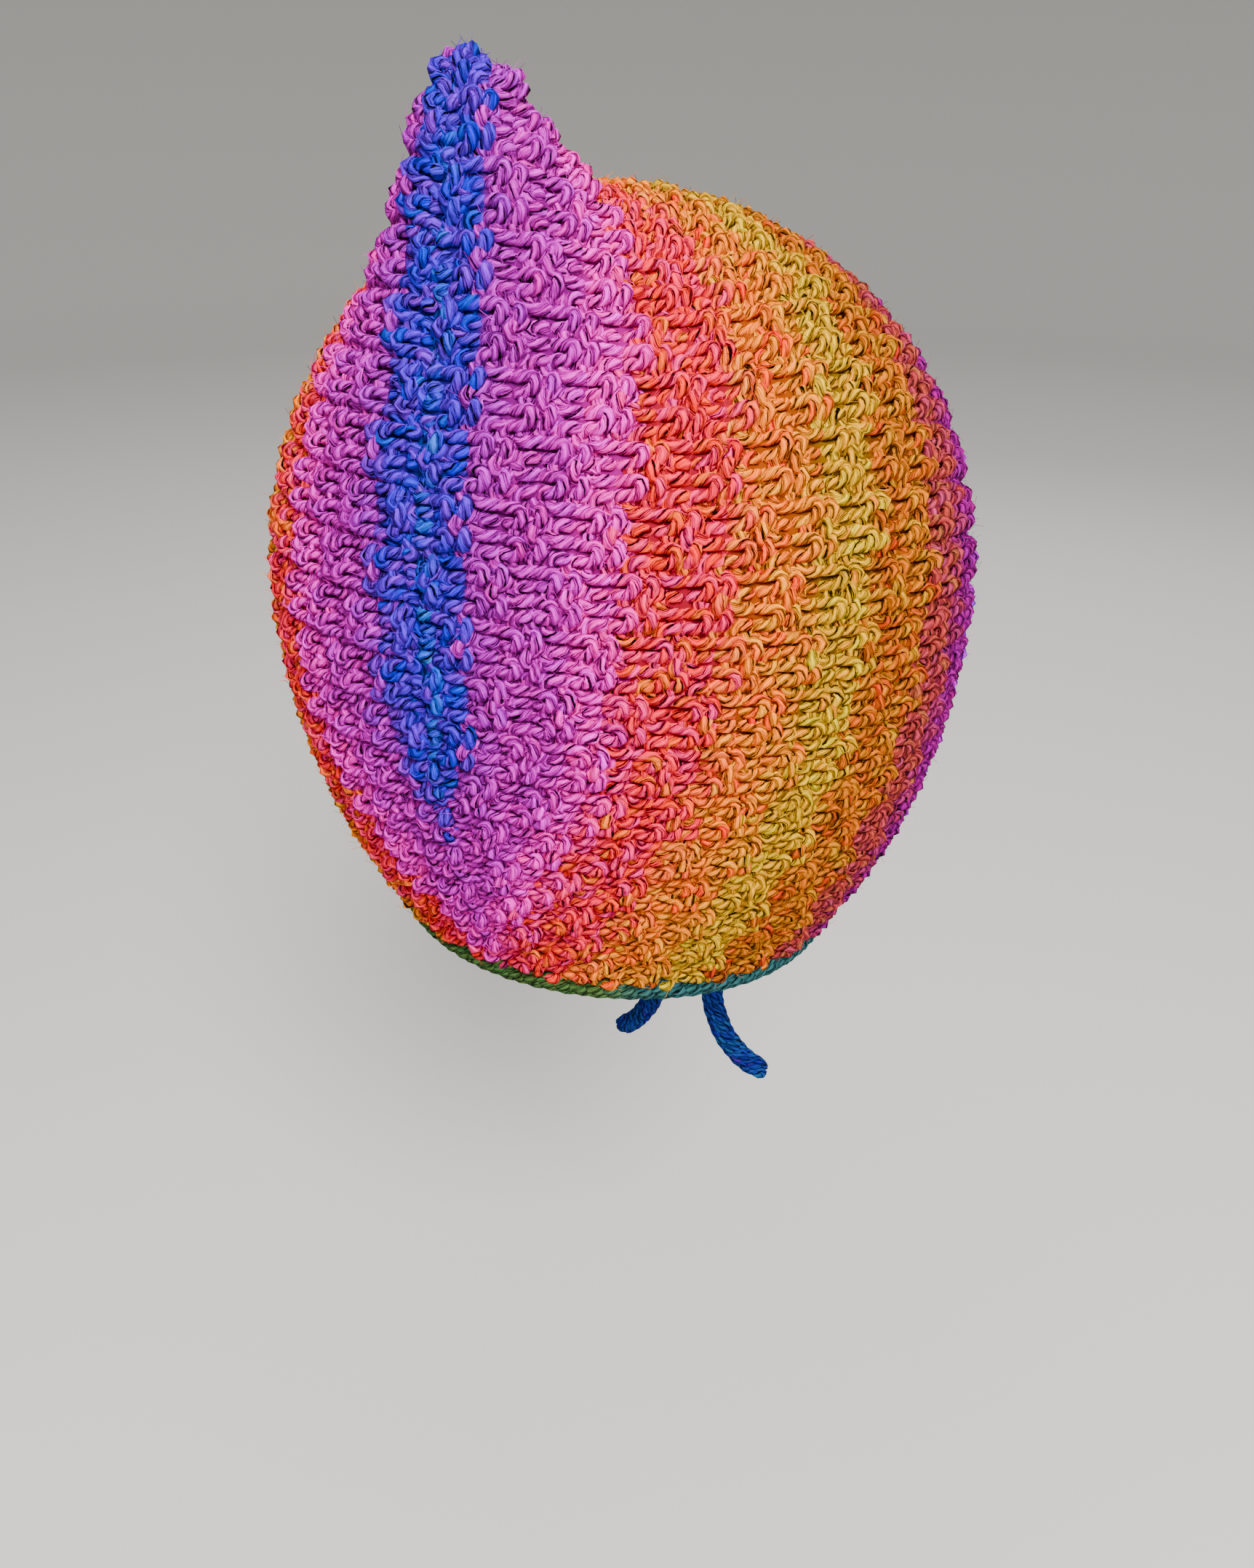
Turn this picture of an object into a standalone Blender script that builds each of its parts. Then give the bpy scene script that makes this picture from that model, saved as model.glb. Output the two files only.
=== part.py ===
"""A child's knitted pixie hat, as it sits when it is worn.

One rectangle of knitting is folded in half over the top of the head and sewn up the back.
The folded corner stands up behind the crown as a small horn. A knitted cord edges the neck
and runs on as two ties. Metres, +Z up, the face opening looks along -Y. The origin is the
inside of the crown, where the top of the head touches.
"""
import math

import bmesh
import bpy
import numpy as np
from mathutils import Vector

OBJECT = "pixie_hat"

# The cloth
WALL = 0.0048          # thickness of the knitting
NET_ACROSS = 24        # cells of the modelled net from the fold to the neck
NET_DEEP = 36          # cells of the modelled net from the seam to the face edge

# The form over the head, to the outside of the cloth, measured from the widest level
HALF_WIDTH = 0.0707
BACK_DEPTH = 0.0704
FRONT_DEPTH = 0.0840
CROWN_RISE = 0.0760
LOWER_DROP = 0.1001
TILT = 0.052           # how much the widest level rises towards the back
SEAT_RISE = CROWN_RISE - WALL

# The horn, a cone with a round tip, blended into the head
TIP = np.array([0.0, 0.0413, 0.0959])
TIP_RADIUS = 0.0084
HORN_BASE = np.array([0.0, 0.0312, 0.0354])
HORN_BASE_RADIUS = 0.0342
HORN_BLEND = 0.0113
HORN_LEAN = 0.0035     # the tip leans this far to the wearer's left
LEAN_FROM = 0.045
LEAN_OVER = 0.050

# The lower edge is a plane that rises towards the back
RIM_LEVEL = -0.0730
RIM_SLOPE = 0.113

# The face edge in side view: a smooth curve through these places
FACE_EDGE = (
    # y, z
    (-0.038, -0.078),
    (-0.046, -0.010),
    (-0.069, 0.040),
)

# The knitted cord that edges the neck and makes the ties
NECK_CORD_DIAMETER = 0.0062
TIE_DIAMETER = 0.0056
CORD_GAP = 0.0003      # kept between a cord and what it touches
CORD_STEP = 0.0115     # between the points of a tie's tube
NECK_CORD_STEPS = 32

# The route of each tie, from the front corner of the neck to its rounded end
RIGHT_TIE_ROUTE = (
    # x, y, z
    (-0.0322, -0.0372, -0.1520),
    (-0.0284, -0.0424, -0.1528),
    (-0.0240, -0.0468, -0.1562),
    (-0.0192, -0.0497, -0.1628),
    (-0.0148, -0.0500, -0.1712),
    (-0.0106, -0.0480, -0.1801),
    (-0.0078, -0.0446, -0.1890),
    (-0.0066, -0.0412, -0.1980),
    (-0.0082, -0.0388, -0.2080),
    (-0.0128, -0.0376, -0.2172),
    (-0.0192, -0.0375, -0.2232),
    (-0.0252, -0.0379, -0.2258),
)
LEFT_TIE_ROUTE = (
    # x, y, z
    (0.0322, -0.0372, -0.1520),
    (0.0285, -0.0425, -0.1528),
    (0.0245, -0.0474, -0.1560),
    (0.0206, -0.0508, -0.1626),
    (0.0170, -0.0522, -0.1718),
    (0.0136, -0.0512, -0.1814),
    (0.0114, -0.0488, -0.1910),
    (0.0104, -0.0458, -0.2006),
    (0.0112, -0.0432, -0.2104),
    (0.0142, -0.0418, -0.2198),
    (0.0190, -0.0416, -0.2274),
    (0.0236, -0.0420, -0.2316),
)

MIDDLE = np.array([0.0, 0.012, 0.0])  # a place inside the hat that sees all of its cloth
LONGEST_REACH = 0.15   # longer than any line from inside the hat to its cloth
EDGE_STEPS = 200
EVEN_ROUNDS = 400      # of evening out the net between its edges
HALVINGS = 30          # of the search along a line for the cloth
NAPE_ROUNDS = 10       # of the search for the lowest place of the seam
SLOPE_STEP = 1e-5
SMOOTH_STEP = 0.05     # between the points that smooth a route, as a share of a stretch
TUBE_RESOLUTION = 3


def rim_height(y):
    return RIM_LEVEL + RIM_SLOPE * y


def face_edge_curve():
    y, z = np.array(FACE_EDGE).T
    return np.polyfit(z, y, 2)


def head_distance(points):
    """How far points lie outside the bare head form, about, without the horn."""
    x, y, z = points[..., 0], points[..., 1], points[..., 2]
    z = z - TILT * y
    depth = np.where(y > 0, BACK_DEPTH, FRONT_DEPTH)
    height = np.where(z > 0, CROWN_RISE, LOWER_DROP)
    ratio = np.sqrt((x / HALF_WIDTH) ** 2 + (y / depth) ** 2 + (z / height) ** 2)
    return (ratio - 1) * HALF_WIDTH


def horn_distance(points):
    """How far points lie outside a cone with round ends, from the horn's base to its tip."""
    along = TIP - HORN_BASE
    top = TIP - along / np.linalg.norm(along) * TIP_RADIUS
    axis = top - HORN_BASE
    length = np.linalg.norm(axis)
    taper = (HORN_BASE_RADIUS - TIP_RADIUS) / length
    rise = math.sqrt(1 - taper * taper)
    offset = points - HORN_BASE
    height = offset @ axis / length
    across = np.sqrt(np.maximum((offset * offset).sum(-1) - height**2, 1e-12))
    side = height * rise - across * taper
    from_base = np.hypot(across, height) - HORN_BASE_RADIUS
    from_top = np.hypot(across, height - length) - TIP_RADIUS
    from_side = across * rise + height * taper - HORN_BASE_RADIUS
    return np.where(side < 0, from_base, np.where(side > length * rise, from_top, from_side))


def cloth_distance(points):
    """The outside of the cloth is where this is zero."""
    head = head_distance(points)
    horn = horn_distance(points)
    share = np.clip(0.5 + 0.5 * (horn - head) / HORN_BLEND, 0, 1)
    return horn + (head - horn) * share - HORN_BLEND * share * (1 - share)


def slope_of_cloth(points):
    slope = np.empty_like(points)
    for axis in range(3):
        shift = np.zeros(3)
        shift[axis] = SLOPE_STEP
        ahead = cloth_distance(points + shift)
        behind = cloth_distance(points - shift)
        slope[..., axis] = (ahead - behind) / (2 * SLOPE_STEP)
    return slope


def reach_cloth(start, way, longest):
    """Where lines that start inside the cloth come out of it."""
    low = np.zeros(start.shape[:-1])
    high = np.full(start.shape[:-1], longest)
    for _ in range(HALVINGS):
        middle = (low + high) / 2
        inside = cloth_distance(start + way * middle[..., None]) < 0
        low = np.where(inside, middle, low)
        high = np.where(inside, high, middle)
    return start + way * low[..., None]


def settle(points):
    """Move points straight onto the outside of the cloth."""
    slope = slope_of_cloth(points)
    reach = cloth_distance(points) / (slope * slope).sum(-1)
    return points - slope * reach[..., None]


def even_line(places, steps):
    """Evenly spaced places along a line of many short pieces."""
    run = np.concatenate([[0], np.cumsum(np.linalg.norm(np.diff(places, axis=0), axis=1))])
    even = np.linspace(0, run[-1], steps + 1)
    return np.stack([np.interp(even, run, places[:, k]) for k in range(3)], 1)


def nape_place():
    """The lowest place of the seam."""
    nape = np.zeros(3)
    for _ in range(NAPE_ROUNDS):
        start = np.array([0, 0, rim_height(nape[1])])
        nape = reach_cloth(start, np.array([0, 1, 0]), LONGEST_REACH)
    return nape


def middle_line(end):
    """Along the plane of the fold and the seam, from the tip to an end."""
    a, b = (math.atan2(place[2], place[1] - MIDDLE[1]) for place in (TIP, end))
    turn = np.linspace(a, b, EDGE_STEPS)
    way = np.stack([0 * turn, np.cos(turn), np.sin(turn)], -1)
    line = reach_cloth(np.broadcast_to(MIDDLE, way.shape), way, LONGEST_REACH)
    line[0], line[-1] = TIP, end
    return line


def edges_of_half(across, deep):
    """The four edges of the hat's left half: the seam, the fold, the neck and the face edge."""
    nape = nape_place()
    low_y = FACE_EDGE[0][0]
    brow_y = FACE_EDGE[-1][0]
    brow = reach_cloth(np.array([0, brow_y, 0]), np.array([0, 0, 1]), LONGEST_REACH)
    z = np.linspace(brow[2], rim_height(low_y), EDGE_STEPS)
    start = np.stack([0 * z, np.polyval(face_edge_curve(), z), z], -1)
    face = reach_cloth(start, np.array([1, 0, 0]), LONGEST_REACH)
    face[0] = brow
    y = low_y + (nape[1] - low_y) * np.sin(np.linspace(math.pi / 2, 0, EDGE_STEPS))
    start = np.stack([0 * y, y, rim_height(y)], -1)
    neck = reach_cloth(start, np.array([1, 0, 0]), LONGEST_REACH)
    neck[0], neck[-1] = nape, face[-1]
    lines = ((middle_line(nape), across), (middle_line(brow), deep), (neck, deep), (face, across))
    return [even_line(line, steps) for line, steps in lines]


def flatten(places):
    """Directions from the middle, as places on a round chart of the hat's left half."""
    way = places - MIDDLE
    way = way / np.linalg.norm(way, axis=-1, keepdims=True)
    reach = np.arccos(np.clip(way[..., 0], -1, 1)) / (math.pi / 2)
    turn = np.arctan2(way[..., 2], way[..., 1])
    return np.stack([reach * np.cos(turn), reach * np.sin(turn)], -1)


def laid_net(across, deep):
    """Spread the half rectangle between its four edges on the chart, then on the form."""
    seam, fold, neck, face = edges_of_half(across, deep)
    q = np.linspace(0, 1, deep + 1)
    sheet = flatten(face)[:, None] * q[None, :, None]
    sheet[:, 0] = flatten(seam)
    sheet[0, :] = flatten(fold)
    sheet[-1, :] = flatten(neck)
    for _ in range(EVEN_ROUNDS):
        beside = sheet[1:-1, :-2] + sheet[1:-1, 2:]
        sheet[1:-1, 1:-1] = (sheet[:-2, 1:-1] + sheet[2:, 1:-1] + beside) / 4
    reach = np.linalg.norm(sheet, axis=-1) * math.pi / 2
    turn = np.arctan2(sheet[..., 1], sheet[..., 0])
    way = np.stack([np.cos(reach), np.sin(reach) * np.cos(turn), np.sin(reach) * np.sin(turn)], -1)
    net = reach_cloth(np.broadcast_to(MIDDLE, way.shape), way, LONGEST_REACH)
    net[:, 0], net[0, :], net[-1, :], net[:, -1] = seam, fold, neck, face
    for _ in range(EVEN_ROUNDS):
        beside = net[1:-1, :-2] + net[1:-1, 2:]
        net[1:-1, 1:-1] = settle((net[:-2, 1:-1] + net[2:, 1:-1] + beside) / 4)
    return net


def to_part(points):
    """Lean the horn to one side and measure heights from the seat of the head."""
    share = np.clip((points[..., 2] - LEAN_FROM) / LEAN_OVER, 0, 1)
    moved = points.copy()
    moved[..., 0] += HORN_LEAN * share * share * (3 - 2 * share)
    moved[..., 2] -= SEAT_RISE
    return moved


def material(name, colour, roughness):
    made = bpy.data.materials.new(name)
    made.use_nodes = True
    shader = made.node_tree.nodes["Principled BSDF"]
    shader.inputs["Base Color"].default_value = (*colour, 1)
    shader.inputs["Roughness"].default_value = roughness
    shader.inputs["Metallic"].default_value = 0
    return made


def add_object(name, data, collection, finish):
    thing = bpy.data.objects.new(name, data)
    collection.objects.link(thing)
    data.materials.append(finish)
    return thing


def make_hood(net, collection):
    """A flat grid of the whole rectangle, laid on the form, sewn up the back and thickened."""
    across = net.shape[0] - 1
    deep = net.shape[1] - 1
    sheet = bmesh.new()
    bmesh.ops.create_grid(sheet, x_segments=2 * across, y_segments=deep, size=1)
    for vertex in sheet.verts:
        p = round(vertex.co.x * across)
        q = round((vertex.co.y + 1) / 2 * deep)
        place = net[abs(p), q].copy()
        if p < 0:
            place[0] = -place[0]
        vertex.co = Vector(to_part(place))
    bmesh.ops.remove_doubles(sheet, verts=sheet.verts, dist=1e-5)
    bmesh.ops.recalc_face_normals(sheet, faces=sheet.faces)
    highest = max(sheet.faces, key=lambda face: face.calc_center_median().z)
    if highest.normal.z < 0:
        bmesh.ops.reverse_faces(sheet, faces=sheet.faces)
    data = bpy.data.meshes.new("hood")
    sheet.to_mesh(data)
    sheet.free()
    data.shade_smooth()
    hood = add_object("hood", data, collection, material("knit_striped", (0.55, 0.10, 0.45), 0.9))
    wall = hood.modifiers.new("wall", "SOLIDIFY")
    wall.thickness = WALL
    wall.offset = -1
    wall.use_rim = True
    return hood


def smooth_route(route, step):
    """Points about a step apart on a smooth curve through a route's own points."""
    places = [Vector(place) for place in route]
    places = [2 * places[0] - places[1]] + places + [2 * places[-1] - places[-2]]
    fine = []
    for a, b, c, d in zip(places, places[1:], places[2:], places[3:]):
        for t in np.arange(0, 1, SMOOTH_STEP):
            bend = 2 * a - 5 * b + 4 * c - d
            twist = 3 * b - a - 3 * c + d
            fine.append(0.5 * (2 * b + (c - a) * t + bend * t**2 + twist * t**3))
    fine.append(places[-2])
    fine = np.array(fine)
    length = np.linalg.norm(np.diff(fine, axis=0), axis=1).sum()
    return even_line(fine, round(length / step))


def make_tube(name, points, diameter, collection, finish):
    curve = bpy.data.curves.new(name, "CURVE")
    curve.dimensions = "3D"
    curve.bevel_depth = diameter / 2
    curve.bevel_resolution = TUBE_RESOLUTION
    curve.use_fill_caps = True
    spline = curve.splines.new("POLY")
    spline.points.add(len(points) - 1)
    for point, place in zip(spline.points, points):
        point.co = (*place, 1)
    spline.use_smooth = True
    return add_object(name, curve, collection, finish)


def neck_cord_route(net):
    """The middle of the edging cord: under the wall's middle, all round the neck."""
    slope = slope_of_cloth(net[-1])
    outward = slope / np.linalg.norm(slope, axis=-1, keepdims=True)
    middle = net[-1] - outward * WALL / 2
    middle[:, 2] = rim_height(net[-1, :, 1]) - NECK_CORD_DIAMETER / 2 - CORD_GAP
    middle[0, 0] = 0
    other = middle[:0:-1] * np.array([-1, 1, 1])
    return even_line(to_part(np.concatenate([other, middle])), NECK_CORD_STEPS)


def main():
    for thing in list(bpy.data.objects):
        bpy.data.objects.remove(thing, do_unlink=True)
    collection = bpy.data.collections.new(OBJECT)
    bpy.context.scene.collection.children.link(collection)
    net = laid_net(NET_ACROSS, NET_DEEP)
    make_hood(net, collection)
    green = material("cord_green", (0.05, 0.16, 0.06), 0.9)
    blue = material("cord_blue", (0.01, 0.05, 0.25), 0.9)
    make_tube("neck_cord", neck_cord_route(net), NECK_CORD_DIAMETER, collection, green)
    for name, route in (("tie_right", RIGHT_TIE_ROUTE), ("tie_left", LEFT_TIE_ROUTE)):
        make_tube(name, smooth_route(route, CORD_STEP), TIE_DIAMETER, collection, blue)


main()
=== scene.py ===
# %% [markdown]
# # A child's knitted pixie hat
#
# The hat is one rectangle of knitting, folded over the top of the head and sewn up the back,
# so its folded corner stands up as a small point. A knitted cord edges the neck and runs on
# as two ties. The yarn changes colour by itself as it is knitted. Here every stitch is real
# yarn: a long curve that loops in and out, laid on the hat's form by Geometry Nodes.

# %% Load the fixed model
import math
from functools import partial

import bpy
import numpy as np
from mathutils import Matrix, Vector


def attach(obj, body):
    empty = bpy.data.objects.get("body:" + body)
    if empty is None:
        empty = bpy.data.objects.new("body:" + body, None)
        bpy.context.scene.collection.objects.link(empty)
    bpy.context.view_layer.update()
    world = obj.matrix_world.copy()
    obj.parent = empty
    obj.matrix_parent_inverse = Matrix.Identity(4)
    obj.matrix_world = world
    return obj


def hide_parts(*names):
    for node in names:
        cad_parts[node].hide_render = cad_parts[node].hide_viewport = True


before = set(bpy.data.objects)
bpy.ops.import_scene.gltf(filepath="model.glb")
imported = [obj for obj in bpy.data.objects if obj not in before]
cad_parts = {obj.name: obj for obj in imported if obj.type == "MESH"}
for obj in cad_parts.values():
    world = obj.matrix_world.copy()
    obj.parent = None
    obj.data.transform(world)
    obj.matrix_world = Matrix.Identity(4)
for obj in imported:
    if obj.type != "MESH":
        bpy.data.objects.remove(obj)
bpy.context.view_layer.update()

# %% [markdown]
# ## The camera
#
# The picture looks at the back of the hat from a little above, with a short lens held close,
# so the point at the top seems large and the neck small. The camera is placed from the angle
# it stands at, how far off it is, and how far it is tipped down.

# %% Camera
CAMERA_ANGLE = math.radians(208.73)   # round the hat, from the front
CAMERA_AWAY = 0.2486
CAMERA_SIDE = 0.0012
CAMERA_HEIGHT = 0.0178
CAMERA_TIP = math.radians(29)         # down from level
SENSOR = 36                           # mm, along the picture's height
PICTURE_HEIGHT = 2156                 # pixels
LENS_PIXELS = 1700
FOCAL = SENSOR * LENS_PIXELS / PICTURE_HEIGHT


def placed(name, data):
    """A new object in the scene."""
    thing = bpy.data.objects.new(name, data)
    bpy.context.scene.collection.objects.link(thing)
    return thing


camera_out = Vector((math.sin(CAMERA_ANGLE), -math.cos(CAMERA_ANGLE), 0))
camera_right = Vector((math.cos(CAMERA_ANGLE), math.sin(CAMERA_ANGLE), 0))
camera_back = camera_out * math.cos(CAMERA_TIP) + Vector((0, 0, math.sin(CAMERA_TIP)))
camera_up = camera_back.cross(camera_right)
camera_at = camera_out * CAMERA_AWAY + camera_right * CAMERA_SIDE + Vector((0, 0, CAMERA_HEIGHT))
camera_data = bpy.data.cameras.new("camera")
camera_data.lens = FOCAL
camera_data.sensor_width = SENSOR
camera = placed("camera", camera_data)
turn = Matrix((camera_right, camera_up, camera_back)).transposed().to_4x4()
camera.matrix_world = Matrix.Translation(camera_at) @ turn
bpy.context.scene.camera = camera
print("camera at", [round(v, 4) for v in camera_at], "lens", round(FOCAL, 2), "mm")

# %% [markdown]
# ## The routes of the cords
#
# The neck edge carries a knitted cord about 6 mm thick, and the cord goes on past each front
# corner of the hat as a loose tie. A tie is limp, so it leaves the neck along the rim and
# then falls in one slow curve. The points are the same as the solid model's.

# %% Routes of the two ties
TIE_DIAMETER = 0.0056
NECK_CORD_DIAMETER = 0.0062
TIE_STEPS = 36
CURVE_STEP = 0.05
RIGHT_TIE_ROUTE = (
    # x, y, z
    (-0.0322, -0.0372, -0.1520),
    (-0.0284, -0.0424, -0.1528),
    (-0.0240, -0.0468, -0.1562),
    (-0.0192, -0.0497, -0.1628),
    (-0.0148, -0.0500, -0.1712),
    (-0.0106, -0.0480, -0.1801),
    (-0.0078, -0.0446, -0.1890),
    (-0.0066, -0.0412, -0.1980),
    (-0.0082, -0.0388, -0.2080),
    (-0.0128, -0.0376, -0.2172),
    (-0.0192, -0.0375, -0.2232),
    (-0.0252, -0.0379, -0.2258),
)
LEFT_TIE_ROUTE = (
    # x, y, z
    (0.0322, -0.0372, -0.1520),
    (0.0285, -0.0425, -0.1528),
    (0.0245, -0.0474, -0.1560),
    (0.0206, -0.0508, -0.1626),
    (0.0170, -0.0522, -0.1718),
    (0.0136, -0.0512, -0.1814),
    (0.0114, -0.0488, -0.1910),
    (0.0104, -0.0458, -0.2006),
    (0.0112, -0.0432, -0.2104),
    (0.0142, -0.0418, -0.2198),
    (0.0190, -0.0416, -0.2274),
    (0.0236, -0.0420, -0.2316),
)


def length_of(line):
    return float(np.linalg.norm(np.diff(line, axis=0), axis=1).sum())


def even_line(places, steps):
    """Evenly spaced places along a line of many short pieces."""
    run = np.concatenate([[0], np.cumsum(np.linalg.norm(np.diff(places, axis=0), axis=1))])
    even = np.linspace(0, run[-1], steps + 1)
    return np.stack([np.interp(even, run, places[:, k]) for k in range(3)], 1)


def smooth_route(route, steps):
    """A smooth curve through a route's own points."""
    places = [Vector(place) for place in route]
    places = [2 * places[0] - places[1]] + places + [2 * places[-1] - places[-2]]
    fine = []
    for a, b, c, d in zip(places, places[1:], places[2:], places[3:]):
        for t in np.arange(0, 1, CURVE_STEP):
            bend = 2 * a - 5 * b + 4 * c - d
            twist = 3 * b - a - 3 * c + d
            fine.append(0.5 * (2 * b + (c - a) * t + bend * t**2 + twist * t**3))
    fine.append(places[-2])
    return even_line(np.array(fine), steps)


tie_paths = {
    "tie_right": smooth_route(RIGHT_TIE_ROUTE, TIE_STEPS),
    "tie_left": smooth_route(LEFT_TIE_ROUTE, TIE_STEPS),
}
for name, path in tie_paths.items():
    print(name, "is", round(length_of(path) * 1000), "mm long")

# %% [markdown]
# ## Floor and light
#
# A plain pale floor that curves up into a wall gives a soft, even ground, and wide area
# lights stand in for large windows. The light comes mostly from above and behind the camera,
# so each strand is bright on top and the gaps between the strands stay dark.

# %% Floor and wall
FLOOR_LEVEL = -0.42
FLAT_REACH, FULL_REACH, WALL_HEIGHT = 2.5, 6.0, 4.8
FLOOR_RINGS, FLOOR_TURNS = 40, 96


def plain_material(name, colour, roughness):
    made = bpy.data.materials.new(name)
    made.use_nodes = True
    shader = made.node_tree.nodes["Principled BSDF"]
    shader.inputs["Base Color"].default_value = (*colour, 1)
    shader.inputs["Roughness"].default_value = roughness
    return made


def backdrop():
    """A floor that sweeps up into a wall on all sides: a wide shallow bowl."""
    rings, turns = FLOOR_RINGS, FLOOR_TURNS
    verts, faces = [(0, 0, FLOOR_LEVEL)], []
    for i in range(1, rings + 1):
        reach = FULL_REACH * i / rings
        steep = max(0, (reach - FLAT_REACH) / (FULL_REACH - FLAT_REACH))
        lift = WALL_HEIGHT * steep ** 2
        for k in range(turns):
            angle = 2 * math.pi * k / turns
            verts.append((reach * math.cos(angle), reach * math.sin(angle), FLOOR_LEVEL + lift))
    for k in range(turns):
        faces.append((0, 1 + k, 1 + (k + 1) % turns))
    for i in range(rings - 1):
        for k in range(turns):
            a, b = 1 + i * turns + k, 1 + i * turns + (k + 1) % turns
            faces.append((a, a + turns, b + turns, b))
    data = bpy.data.meshes.new("floor")
    data.from_pydata(verts, [], faces)
    data.shade_smooth()
    floor = placed("floor", data)
    data.materials.append(plain_material("pale_floor", (0.56, 0.545, 0.52), 0.9))
    return floor


floor = backdrop()
print("floor at", FLOOR_LEVEL, "m,", len(floor.data.polygons), "faces")

# %% Lights
HAT_MIDDLE = (0, 0, -0.07)


def area_light(name, place, aim, size, power, colour=(1, 1, 1)):
    data = bpy.data.lights.new(name, "AREA")
    data.shape = "DISK"
    data.size = size
    data.energy = power
    data.color = colour
    light = placed(name, data)
    light.location = place
    light.rotation_euler = (Vector(place) - Vector(aim)).to_track_quat("Z", "Y").to_euler()


area_light("key", (-0.60, 0.66, 0.72), HAT_MIDDLE, 0.45, 37, (1.0, 0.985, 0.96))
area_light("overhead", (0.0, 0.4, 2.4), HAT_MIDDLE, 2.6, 60, (1.0, 0.99, 0.97))
area_light("fill", (0.9, 0.75, 0.25), HAT_MIDDLE, 1.0, 1.5)
area_light("front", (0.2, -1.1, 0.5), HAT_MIDDLE, 1.0, 4)
world = bpy.data.worlds.new("studio")
world.use_nodes = True
sky = world.node_tree.nodes["Background"].inputs
sky["Color"].default_value = (0.98, 0.99, 1.0, 1)
sky["Strength"].default_value = 0.44
bpy.context.scene.world = world

# %% [markdown]
# ## The form of the hat
#
# The cloth follows a small head and stands up behind it in a cone. Both are described by a
# formula that gives the distance from a place to the form, so that points can be pushed onto
# the cloth from anywhere. The sizes are those of the solid model, to the outside of the
# cloth, but for the slope of the lower edge: the band that is sewn to it draws it up behind.

# %% Sizes of the form
WALL = 0.0048
HALF_WIDTH = 0.0707
BACK_DEPTH = 0.0704
FRONT_DEPTH = 0.0840
CROWN_RISE = 0.0760
LOWER_DROP = 0.1001
TILT = 0.052
SEAT_RISE = CROWN_RISE - WALL
TIP = np.array([0.0, 0.0413, 0.0959])
TIP_RADIUS = 0.0084
HORN_BASE = np.array([0.0, 0.0312, 0.0354])
HORN_BASE_RADIUS = 0.0342
HORN_BLEND = 0.0113
HORN_LEAN = 0.0035
LEAN_FROM = 0.045
LEAN_OVER = 0.050
RIM_LEVEL = -0.0722
RIM_SLOPE = 0.135          # 2 mm up at the nape, and the front corners stay
FACE_EDGE = ((-0.038, -0.078), (-0.046, -0.010), (-0.069, 0.040))   # y, z
MIDDLE = np.array([0.0, 0.012, 0.0])
LONGEST_REACH = 0.15
HALVINGS = 30


def rim_height(y):
    return RIM_LEVEL + RIM_SLOPE * y


def face_edge_curve():
    y, z = np.array(FACE_EDGE).T
    return np.polyfit(z, y, 2)


print("the head part is", round(2000 * HALF_WIDTH, 1), "mm wide, the cloth",
      WALL * 1000, "mm thick")


# %% Distance from the form
def head_distance(points):
    x, y, z = points[..., 0], points[..., 1], points[..., 2]
    z = z - TILT * y
    depth = np.where(y > 0, BACK_DEPTH, FRONT_DEPTH)
    height = np.where(z > 0, CROWN_RISE, LOWER_DROP)
    ratio = np.sqrt((x / HALF_WIDTH) ** 2 + (y / depth) ** 2 + (z / height) ** 2)
    return (ratio - 1) * HALF_WIDTH


def horn_distance(points):
    along = TIP - HORN_BASE
    top = TIP - along / np.linalg.norm(along) * TIP_RADIUS
    axis = top - HORN_BASE
    length = np.linalg.norm(axis)
    taper = (HORN_BASE_RADIUS - TIP_RADIUS) / length
    rise = math.sqrt(1 - taper * taper)
    offset = points - HORN_BASE
    height = offset @ axis / length
    across = np.sqrt(np.maximum((offset * offset).sum(-1) - height**2, 1e-12))
    side = height * rise - across * taper
    from_base = np.hypot(across, height) - HORN_BASE_RADIUS
    from_top = np.hypot(across, height - length) - TIP_RADIUS
    from_side = across * rise + height * taper - HORN_BASE_RADIUS
    return np.where(side < 0, from_base, np.where(side > length * rise, from_top, from_side))


def cloth_distance(points):
    head = head_distance(points)
    horn = horn_distance(points)
    share = np.clip(0.5 + 0.5 * (horn - head) / HORN_BLEND, 0, 1)
    return horn + (head - horn) * share - HORN_BLEND * share * (1 - share)


def slope_of_cloth(points, step=1e-5):
    slope = np.empty_like(points)
    for axis in range(3):
        shift = np.zeros(3)
        shift[axis] = step
        ahead = cloth_distance(points + shift)
        behind = cloth_distance(points - shift)
        slope[..., axis] = (ahead - behind) / (2 * step)
    return slope


def outward_at(points):
    slope = slope_of_cloth(points)
    return slope / np.linalg.norm(slope, axis=-1, keepdims=True)


def settle(points):
    """Move points straight onto the outside of the cloth."""
    slope = slope_of_cloth(points)
    reach = cloth_distance(points) / (slope * slope).sum(-1)
    return points - slope * reach[..., None]


def reach_cloth(start, way, longest):
    """Where lines that start inside the cloth come out of it."""
    low = np.zeros(start.shape[:-1])
    high = np.full(start.shape[:-1], longest)
    for _ in range(HALVINGS):
        middle = (low + high) / 2
        inside = cloth_distance(start + way * middle[..., None]) < 0
        low = np.where(inside, middle, low)
        high = np.where(inside, high, middle)
    return start + way * low[..., None]


print("the tip is", round(float(cloth_distance(TIP)) * 1000, 2), "mm from the cloth")

# %% [markdown]
# ## The net of stitches
#
# Knitting is a net: 36 stitches run from the fold on top down to the neck, and 54 rows run
# from the seam at the back to the face. Half of the rectangle is spread between its four
# edges on the form, and then evened out round by round, each column of stitches keeping its
# rows equally far apart. That is what wool does on a head, and the stripes follow from it.

# %% The four edges of half the hat
STITCHES = 36
ROWS = 54
EDGE_STEPS = 200


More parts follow.
